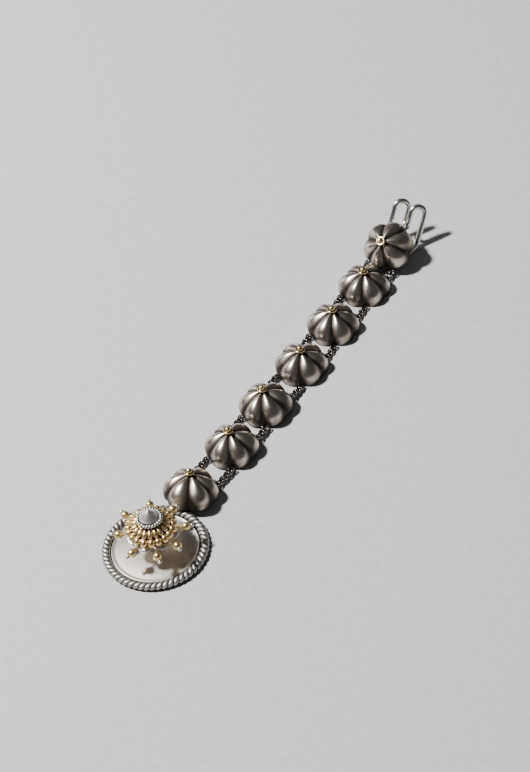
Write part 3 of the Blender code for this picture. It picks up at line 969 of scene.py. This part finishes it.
@dataclass
class BallPins:
    """The gilt balls on wires round the tower, each tipped with a pale bead.

    Fields:
        phase: angle of the first pin, in radians.
        height: height of the wires.
        wire: a wire's radius.
        start: from the tower's axis to the wire's inner end.
        reach: from the axis to the ball's middle.
        ball, bead: radius of ball and bead.
        neck, neck_length, bevel: the sleeve behind a ball and its soft edge.
        cup: outline of the cup under a bead, as its radius and its height over
            the ball, both in millimetres.
        lies: how each pin points.
    """

    phase: float = math.radians(-4)
    height: float = 7.5 * MM
    wire: float = 0.3 * MM
    start: float = 2.0 * MM
    reach: float = 9.1 * MM
    ball: float = 1.2 * MM
    bead: float = 0.52 * MM
    neck: float = 0.5 * MM
    neck_length: float = 0.15 * MM
    bevel: float = 0.05 * MM
    cup: tuple[tuple[float, float], ...] = (
        (0.0, 0.1), (0.42, 0.06), (0.48, -0.12), (0.36, -0.3), (0.0, -0.3),
    )
    lies: tuple[PinLie, ...] = (
        PinLie(-1.0, 0.97, -26.0, -6.0), PinLie(-1.0, 1.0, 6.0, 4.0), PinLie(1.0, 0.99, -5.0, 2.0),
        PinLie(-1.6, 1.04, -1.0, 6.0), PinLie(-3.0, 1.07, -11.0, -3.0), PinLie(-5.5, 0.98, -4.5, -13.0),
        PinLie(2.0, 0.95, -21.0, 17.0), PinLie(4.0, 0.97, 12.0, 23.0),
    )

    def _seated(self, i: int, part: bpy.types.Mesh, loose: bool) -> bpy.types.Mesh:
        """Seat a part that was made along Z on one pin.

        Args:
            i: which pin.
            part: the part, with the ball's middle at the origin.
            loose: whether it is swung about the ball.

        Returns:
            The part's mesh, in place.
        """
        lie = self.lies[i]
        even = 2 * math.pi * i / len(self.lies)
        turn = Matrix.Rotation(self.phase + even + math.radians(lie.turn), 4, "Z")
        place = turn @ Matrix.Translation((self.reach * lie.reach, 0, self.height))
        if loose:
            place = place @ Matrix.Rotation(math.radians(lie.swing), 4, "Z")
            place = place @ Matrix.Rotation(math.radians(lie.droop), 4, "Y")
        seated = part.copy()
        seated.transform(place @ Matrix.Rotation(math.pi / 2, 4, "Y"))
        return seated

    def meshes(self) -> list[bpy.types.Mesh]:
        """Build every pin.

        Returns:
            The balls on their wires, and the beads.
        """
        top, low = self.ball, self.start - self.reach
        ball = arc((0.0, 0.0), self.ball, 90, -62, 16)
        ball[0] = (0.0, top)
        back = -self.ball - self.neck_length
        stem = [(self.neck, -self.ball * 0.98), (self.neck, back), (self.wire, back - self.bevel),
                (self.wire, low), (0.0, low)]
        bead = arc((0.0, top + self.bead * 0.8), self.bead, 90, -90, 10)
        bead[0], bead[-1] = (0.0, bead[0][1]), (0.0, bead[-1][1])
        pin = to_mesh(turned([*ball, *stem], 20))
        collar = to_mesh(turned([(radius * MM, top + height * MM) for radius, height in self.cup], 20))
        tip = to_mesh(turned(bead, 14))
        count = range(len(self.lies))
        gilt = [self._seated(i, pin, False) for i in count]
        gilt += [self._seated(i, collar, True) for i in count]
        return [gathered(gilt), gathered(self._seated(i, tip, True) for i in count)]


# The row

@dataclass
class DomeRow:
    """Seven fluted domes in a row, each with a gilt finial.

    Fields:
        first: from the pendant's axis to the first dome's, which leans on the rim.
        second: from the pendant's axis to the second dome's.
        pitch: from there on from dome to dome; last_pitch is the last one.
        radius, height: a dome's radius and height.
        tuck: how far round its skin reaches from the top, in radians.
        lobes: how many lobes a dome has.
        flute: depth of the flutes between them.
        wander: how far two slow waves shift the flutes, in radians.
        wall: thickness of the silver.
        lobe_power: the lower, the sharper the flutes.
        rim_fade: how much shallower the flutes are at the rim.
        lip, lip_start: how far the rim turns out, and where that starts.
        dent, dent_scale: depth of the dents, and how many cross a radius.
        top_reach, top_darkening: the dark ring round the finial.
        rim_start, rim_painted_shade: painted shade, a dark band from rim_start down to the rim.
        lies: how each dome lies: sway and slip as shares of the radius, then
            lean and tilt in degrees.
        finial: radius of the finial's ring; finial_wire is its wire's.
        finial_height, finial_ball: the ring's height and the ball's radius.
        finial_lift: how high the finial sits over the dome.
        finial_turn: from one finial to the next, in radians.
        steps, rings: steps of the skin across a lobe and down to the rim.
    """

    first: float = 19.7 * MM
    second: float = 40.0 * MM
    pitch: float = 17.6 * MM
    last_pitch: float = 15.2 * MM
    radius: float = 7.6 * MM
    height: float = 6.95 * MM
    tuck: float = math.radians(106)
    lobes: int = 6
    flute: float = 1.25 * MM
    wander: tuple[float, float] = (0.05, 0.03)
    wall: float = 0.5 * MM
    lobe_power: float = 0.95
    rim_fade: float = 0.4
    lip: float = 0.22 * MM
    lip_start: float = 0.88
    dent: float = 0.09 * MM
    dent_scale: float = 2.1
    top_reach: float = math.radians(24)
    top_darkening: float = 0.75
    rim_start: float = 0.4
    rim_painted_shade: float = 0.62
    lies: tuple[tuple[float, float, float, float], ...] = (
        (-0.26, 0.00, 2.5, -10.25), (-0.21, 0.10, 3.5, 0.0), (-0.25, 0.12, 4.5, 0.0),
        (-0.24, 0.05, -1.5, 0.0), (-0.32, 0.02, -1.0, 0.0), (-0.39, 0.00, -1.5, 0.0),
        (-0.42, 0.00, 0.0, 35.0),
    )
    finial: float = 1.4 * MM
    finial_height: float = 1.0 * MM
    finial_ball: float = 0.82 * MM
    finial_wire: float = 0.3 * MM
    finial_lift: float = 0.05 * MM
    finial_turn: float = 0.9
    steps: int = 20
    rings: int = 34

    def skin_point(self, polar: float, around: float, seed: int) -> tuple[Vector, float]:
        """Return a point of a dome's outer skin, and its dark share: patina in the flutes, the dark ring
        round the finial and painted shade near the rim.

        Args:
            polar: angle from the top, up to tuck.
            around: angle round the dome.
            seed: which dome, for the small differences between them.

        Returns:
            The point, with the dome's rim at z = 0, and that dark share from 0 to 1.
        """
        semi = self.height / (1 - math.cos(self.tuck))
        sine, cosine = math.sin(polar), math.cos(polar)
        side = self.radius * sine
        rise = semi * (cosine - math.cos(self.tuck))
        normal = Vector((sine / self.radius, cosine / semi)).normalized()
        down = polar / self.tuck
        slow, quick = self.wander
        wander = slow * math.sin(around * 2 + seed * 1.7) + quick * math.sin(around * 3 + seed)
        wave = abs(math.cos((around + wander - math.pi / 2) * self.lobes / 2))
        cut = 1 - wave ** self.lobe_power
        fade = 1 - self.rim_fade * down ** 2.5
        depth = self.flute * cut * fade * math.sqrt(max(sine, 0.0))
        depth -= self.lip * past(down, self.lip_start) ** 2
        spot = Vector((math.cos(around) * sine, math.sin(around) * sine, cosine)) * self.dent_scale
        depth += self.dent * noise.noise(spot + Vector((seed * 5.3, 0, 0)))
        reach = side - normal.x * depth
        point = Vector((reach * math.cos(around), reach * math.sin(around), rise - normal.y * depth))
        # Darker in a ring round the finial's foot
        top_dark = self.top_darkening * max(0.0, 1 - polar / self.top_reach) ** 1.5
        # Painted shade: a dark band that deepens down towards the rim
        rim_shade = self.rim_painted_shade * past(down, self.rim_start) ** 1.3
        return point, min(1.0, cut ** 0.9 * fade + top_dark + rim_shade)

    def dome_mesh(self, seed: int) -> bpy.types.Mesh:
        """Shape a dome from a sphere and give it its wall.

        Args:
            seed: which dome.

        Returns:
            The dome's mesh, rim at z = 0, with patina and painted shade stored.
        """
        work = bmesh.new()
        layer = work.verts.layers.float.new("shade_and_patina")
        bmesh.ops.create_uvsphere(
            work, u_segments=self.lobes * self.steps, v_segments=2 * self.rings, radius=1.0)
        below = [vert for vert in work.verts if vert.co.z < -1e-4]
        bmesh.ops.delete(work, geom=below, context="VERTS")
        for vert in work.verts:
            share = math.acos(max(-1.0, min(1.0, vert.co.z))) / (math.pi / 2)
            around = math.atan2(vert.co.y, vert.co.x)
            vert.co, vert[layer] = self.skin_point(share * self.tuck, around, seed)
        bmesh.ops.recalc_face_normals(work, faces=work.faces)
        outer = set(work.verts)
        bmesh.ops.solidify(work, geom=work.faces, thickness=self.wall)
        # Painted shade: the inner side of the wall, under the dome, is dark
        for vert in work.verts:
            if vert not in outer:
                vert[layer] = 0.9
        return to_mesh(work, outward=False)

    def finial_mesh(self) -> bpy.types.Mesh:
        """Make the finial's cup, its ring and its ball.

        Returns:
            The finial's mesh, with its foot at z = 0.
        """
        ring = self.finial - self.finial_wire
        floor = self.finial_height * 0.35
        rows = [(0.0, floor), (self.finial * 0.45, floor)]
        rows += arc((ring, self.finial_height - self.finial_wire), self.finial_wire, 180, -60, 10)
        rows += [(self.finial * 0.7, 0.0), (0.0, 0.0)]
        cup = turned(rows, 32)
        ball = bmesh.new()
        bmesh.ops.create_uvsphere(ball, u_segments=24, v_segments=16, radius=self.finial_ball)
        bmesh.ops.translate(ball, verts=ball.verts, vec=(0, 0, self.finial_height * 1.1))
        return gathered([to_mesh(cup), to_mesh(ball)])

    def place(self, i: int, origin: float, mesh: bpy.types.Mesh) -> Matrix:
        """Return where a dome lies.

        Args:
            i: which dome, from the pendant.
            origin: the pendant's place along the row.
            mesh: the dome's mesh, to set its lowest point on the floor.

        Returns:
            The placing matrix.
        """
        sway, slip, lean, tilt = self.lies[i]
        along = self.second + (i - 1) * self.pitch - slip * self.radius
        if i == 0:
            along = self.first
        if i == len(self.lies) - 1:
            along += self.last_pitch - self.pitch
        turn = Matrix.Rotation(-math.radians(lean), 4, "Y")
        turn = turn @ Matrix.Rotation(math.radians(tilt), 4, "X")
        lowest = min((turn @ vert.co).z for vert in mesh.vertices)
        return Matrix.Translation((sway * self.radius, origin + along, -lowest)) @ turn

    def dress(self, bench: Bench, painter: ShadeAndPatinaPainter, origin: float) -> None:
        """Build every dome and finial of the row.

        Args:
            bench: takes the pieces.
            painter: stores the finials' painted shade and patina.
            origin: the pendant's place along the row.
        """
        finial = self.finial_mesh()
        painter.paint([finial])
        for i in range(len(self.lies)):
            skin = self.dome_mesh(i)
            place = self.place(i, origin, skin)
            skin.transform(place)
            bench.piece(f"dome_skin_{i + 1}", skin, SILVER, [f"fluted_dome_{i + 1}"])
            knob = finial.copy()
            turn = Matrix.Rotation(self.finial_turn * i, 4, "Z")
            knob.transform(place @ Matrix.Translation((0, 0, self.height + self.finial_lift)) @ turn)
            bench.piece(f"finial_{i + 1}", knob, BRASS, [f"gold_finial_{i + 1}"])


@dataclass
class DoubleChain:
    """Flat double strands of small oval links, in place of the plain tubes.

    Fields:
        wire: radius of a link's wire.
        length, width: a link's length and width.
        pitch: from link to link.
        spread: half of the distance between the two strands.
        roll: how far the links are rolled, to either side in turn, in radians.
        overrun: how far a run goes on past the tube's ends.
        end_zone: how near its end a tube's points count as that end's.
        half_steps: steps in a link's half turn.
    """

    wire: float = 0.25 * MM
    length: float = 1.9 * MM
    width: float = 1.1 * MM
    pitch: float = 1.05 * MM
    spread: float = 0.43 * MM
    roll: float = math.radians(45)
    overrun: float = 0.55 * MM
    end_zone: float = 0.6 * MM
    half_steps: int = 8

    def link_mesh(self) -> bpy.types.Mesh:
        """Bend one oval link along Y, lying flat.

        Returns:
            The link's mesh, round the origin.
        """
        straight = (self.length - self.width) / 2
        bend = self.width / 2 - self.wire
        points = []
        for end, start in ((1, 0.0), (-1, math.pi)):
            for i in range(self.half_steps + 1):
                angle = start + math.pi * i / self.half_steps
                points.append(Vector((bend * math.cos(angle), end * straight + bend * math.sin(angle), 0)))
        return gathered([swept(points, self.wire, 8, True)])

    def run_mesh(self, node: str, link: bpy.types.Mesh) -> bpy.types.Mesh:
        """Lay links along a tube's middle line.

        Args:
            node: the plain tube.
            link: one link's mesh.

        Returns:
            The run's mesh, in place.
        """
        low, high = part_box(node)
        spots = [vert.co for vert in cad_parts[node].data.vertices]
        ends = []
        for edge in (low.y, high.y):
            near = [spot for spot in spots if abs(spot.y - edge) < self.end_zone]
            ends.append(sum(near, Vector()) / len(near))
        run = ends[1] - ends[0]
        start = ends[0] - run.normalized() * self.overrun
        reach = run.length + 2 * self.overrun
        count = max(2, round((reach - self.length) / self.pitch) + 1)
        step = (reach - self.length) / (count - 1)
        heading = run.to_track_quat("Y", "Z").to_matrix().to_4x4()
        work = bmesh.new()
        for side in (-1, 1):
            for i in range(count):
                along = self.length / 2 + i * step
                roll = self.roll if i % 2 else -self.roll
                place = (Matrix.Translation(start) @ heading
                         @ Matrix.Translation((side * self.spread, along, 0))
                         @ Matrix.Rotation(roll * side, 4, "Y"))
                known = set(work.verts)
                work.from_mesh(link)
                made = [vert for vert in work.verts if vert not in known]
                bmesh.ops.transform(work, matrix=place, verts=made)
        return to_mesh(work, outward=False)

    def dress(self, bench: Bench, painter: ShadeAndPatinaPainter) -> None:
        """Lay every run of links.

        Args:
            bench: takes the pieces.
            painter: stores their painted shade and patina.
        """
        link = self.link_mesh()
        for node in sorted(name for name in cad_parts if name.startswith("chain_")):
            run = self.run_mesh(node, link)
            painter.paint([run])
            bench.piece(node.replace("chain", "links"), run, BLACKENED, [node])


@dataclass
class WireHook:
    """The double hook: two humps side by side, coiled from one round wire.

    Fields:
        wire: the wire's radius.
        hump, gap: width of each hump and of the gap between them.
        depth: how far each hump's left leg stands in front of its right leg.
        rise: the humps' height over the floor part.
        slope: how steeply they rise, in radians.
        bend_reach, bend: where the wire leaves the floor, and its radius there.
        joint_drop: how far the joint between the humps is under their tops.
        tail_reach, tail_inset: how far the tails run, and how far they close in.
        step: length of the steps round a bend.
        snug: keeps a half turn's radius a hair under half of its width.
    """

    wire: float = 0.8 * MM
    hump: float = 3.1 * MM
    gap: float = 2.5 * MM
    depth: float = 3.0 * MM
    rise: float = 10.3 * MM
    slope: float = math.radians(54)
    bend_reach: float = 5.8 * MM
    bend: float = 1.6 * MM
    joint_drop: float = 7.4 * MM
    tail_reach: float = 3.9 * MM
    tail_inset: float = 1.2 * MM
    step: float = 0.25 * MM
    snug: float = 0.999

    def _path(self, corners: list[tuple[Vector, float]]) -> list[Vector]:
        """Round the corners of a line.

        Args:
            corners: the line's points, each with the radius of its bend.

        Returns:
            The points of the rounded line.
        """
        path = [corners[0][0]]
        for before, (corner, radius), after in zip(corners, corners[1:], corners[2:]):
            inward = (before[0] - corner).normalized()
            onward = (after[0] - corner).normalized()
            half = inward.angle(onward) / 2
            centre = corner + (inward + onward).normalized() * radius / math.sin(half)
            start = corner + inward * radius / math.tan(half) - centre
            end = corner + onward * radius / math.tan(half) - centre
            sweep = start.angle(end)
            steps = max(4, round(radius * sweep / self.step))
            for i in range(steps + 1):
                share = i / steps
                blend = start * math.sin((1 - share) * sweep) + end * math.sin(share * sweep)
                path.append(centre + blend / math.sin(sweep))
        path.append(corners[-1][0])
        return path

    def mesh(self) -> bpy.types.Mesh:
        """Bend the wire where the plain hook lies.

        Returns:
            The hook's mesh, in place.
        """
        low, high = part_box("hair_hook")
        up = Vector((0.0, math.cos(self.slope), math.sin(self.slope)))
        front = Vector((0.0, -up.z, up.y)) * self.depth / 2
        top = self.rise / up.z
        bends = [math.hypot(width, self.depth) / 2 for width in (self.hump, self.gap)]
        tip = (top - bends[0]) * up.y + math.hypot(bends[0] * up.y, front.y)
        base = Vector(((low.x + high.x) / 2, high.y - tip - self.wire - self.bend_reach, self.wire))
        bend = base + Vector((0.0, self.bend_reach, 0.0))
        shift = Vector((0.0, self.depth / 2 / up.z, 0.0))
        tail = Vector((self.tail_inset, -self.tail_reach, 0.0))
        outer, inner = Vector((self.gap / 2 + self.hump, 0, 0)), Vector((self.gap / 2, 0, 0))
        hump, joint = bends[0] * self.snug, bends[1] * self.snug
        low_joint = up * (top - self.joint_drop)
        corners = [
            (base - outer + tail, 0.0),
            (bend - outer - shift, self.bend),
            (bend - outer + up * top + front, hump),
            (bend - inner + up * top - front, hump),
            (bend - inner + low_joint - front, joint),
            (bend + inner + low_joint + front, joint),
            (bend + inner + up * top + front, hump),
            (bend + outer + up * top - front, hump),
            (bend + outer + shift, self.bend),
            (base + outer + Vector((-tail.x, tail.y, 0.0)), 0.0),
        ]
        return gathered([swept(self._path(corners), self.wire, 20, False)])

    def dress(self, bench: Bench, painter: ShadeAndPatinaPainter) -> None:
        """Build the hook.

        Args:
            bench: takes the piece.
            painter: stores its painted shade and patina.
        """
        mesh = self.mesh()
        painter.paint([mesh])
        bench.piece("hook_wire", mesh, BRIGHT, ["hair_hook"])


# Floor, light and camera

WARM: Colour = (1.0, 0.985, 0.965)
COOL: Colour = (0.97, 0.985, 1.0)


@dataclass(frozen=True)
class Softbox:
    """A soft area light that points at the jewel.

    Fields:
        name: its name.
        towards: direction from the jewel to the light.
        away: its distance.
        size: its width and height.
        power: its power in watts.
        tint: its colour.
    """

    name: str
    towards: tuple[float, float, float]
    away: float
    size: tuple[float, float]
    power: float
    tint: Colour

    def build(self) -> bpy.types.Object:
        """Add the light to the scene.

        Returns:
            The light's object.
        """
        light = bpy.data.lights.new(self.name, "AREA")
        light.shape = "RECTANGLE"
        light.size, light.size_y = self.size
        light.energy = self.power
        light.color = self.tint
        made = bpy.data.objects.new(self.name, light)
        made.location = Vector(self.towards).normalized() * self.away
        made.rotation_euler = Vector(self.towards).to_track_quat("Z", "Y").to_euler()
        bpy.context.scene.collection.objects.link(made)
        return made


@dataclass
class Studio:
    """The pale floor, the soft lights and the camera at the photograph's angle.

    Fields:
        azimuth, elevation, roll: the camera's angles, in radians.
        distance: from the camera to the spot on the floor that it looks at.
        target: that spot's X and Y.
        focal_pixels: the lens's focal length in picture pixels.
        picture_height: the picture's height in pixels.
        film: height of the film, in millimetres.
        floor: the floor's width.
        lights: the soft lights.
        sky, sky_power: colour and strength of the room's own light.
    """

    azimuth: float = math.radians(39.76)
    elevation: float = math.radians(45.75)
    roll: float = math.radians(-8.61)
    distance: float = 0.6514
    target: tuple[float, float] = (-7.51 * MM, 1.75 * MM)
    focal_pixels: float = 2300.0
    picture_height: float = 772.0
    film: float = 24.0
    floor: float = 3.0
    lights: tuple[Softbox, ...] = (
        Softbox("key", (-0.60, -0.28, 1.0), 1.1, (0.11, 0.11), 28.0, WARM),
        Softbox("back", (-0.45, 0.82, 0.72), 1.3, (0.5, 0.3), 0.08, COOL),
        Softbox("left", (-1.0, 0.1, 0.16), 1.0, (0.4, 0.26), 1.0, WARM),
    )
    sky: Colour = (0.52, 0.53, 0.55)
    sky_power: float = 0.12

    def build_floor(self) -> None:
        """Lay the floor."""
        work = bmesh.new()
        bmesh.ops.create_grid(work, x_segments=1, y_segments=1, size=self.floor / 2)
        mesh = to_mesh(work, outward=False)
        mesh.materials.append(PaperFinish().material("floor_paper"))
        made = bpy.data.objects.new("floor", mesh)
        bpy.context.scene.collection.objects.link(made)

    def build_light(self) -> None:
        """Hang the lights and set the room's own soft light."""
        for light in self.lights:
            light.build()
        world = bpy.data.worlds.new("room")
        bpy.context.scene.world = world
        world.use_nodes = True
        back = world.node_tree.nodes["Background"]
        back.inputs["Color"].default_value = (*self.sky, 1.0)
        back.inputs["Strength"].default_value = self.sky_power

    def build_camera(self) -> None:
        """Set the camera where the photograph was taken from."""
        sa, ca = math.sin(self.azimuth), math.cos(self.azimuth)
        se, ce = math.sin(self.elevation), math.cos(self.elevation)
        back = Vector((sa * ce, -ca * ce, se))
        level = Vector((ca, sa, 0.0))
        rise = level.cross(-back)
        sr, cr = math.sin(self.roll), math.cos(self.roll)
        right = level * cr + rise * sr
        up = rise * cr - level * sr
        camera = bpy.data.cameras.new("camera")
        camera.sensor_fit = "VERTICAL"
        camera.sensor_height = self.film
        camera.lens = self.focal_pixels / self.picture_height * self.film
        camera.clip_start = 0.01
        made = bpy.data.objects.new("camera", camera)
        spot = Vector((*self.target, 0.0)) + back * self.distance
        made.matrix_world = Matrix.Translation(spot) @ Matrix((right, up, back)).transposed().to_4x4()
        bpy.context.scene.collection.objects.link(made)
        bpy.context.scene.camera = made

    def build(self) -> None:
        """Build all of the studio."""
        self.build_camera()
        self.build_floor()
        self.build_light()


def main() -> None:
    """Build and dress the jewel, piece by piece."""
    logging.basicConfig(level=logging.INFO, format="%(message)s")
    bench = Bench()
    painter = ShadeAndPatinaPainter()
    Studio().build()

    origin = middle("petal_post").y
    seat = Matrix.Translation((0, origin, 0))
    plate, rope = Pendant().meshes()
    post, skirt, crown, collar, cone = Tower().meshes()
    balls, beads = BallPins().meshes()
    group = [plate, post, skirt, crown, collar, cone, balls, beads]
    # Painted shade where the pendant's parts crowd and overhang each other, with patina in the silver's
    # hollows
    painter.paint(group)
    for mesh in [*group, rope]:
        mesh.transform(seat)
    pins = [f"ball_pin_{i + 1}" for i in range(len(BallPins.lies))]
    bench.piece("pendant_plate", plate, PLATE_SILVER, ["pendant_disc"])
    bench.piece("pendant_rope", rope, RIM_SILVER)
    bench.piece("tower_petals", post, SATIN, ["petal_post"])
    bench.piece("tower_skirt", skirt, GILT, ["grain_skirt"])
    bench.piece("tower_crown", crown, GILT, ["grain_crown"])
    bench.piece("tower_collar", collar, COLLAR_SILVER, ["rope_collar"])
    bench.piece("tower_cone", cone, SATIN, ["cone_cap"])
    bench.piece("pin_balls", balls, GILT, pins)
    bench.piece("pin_beads", beads, BRIGHT)

    DomeRow().dress(bench, painter, origin)
    DoubleChain().dress(bench, painter)
    WireHook().dress(bench, painter)

    bpy.context.view_layer.update()


if __name__ == "__main__":
    main()
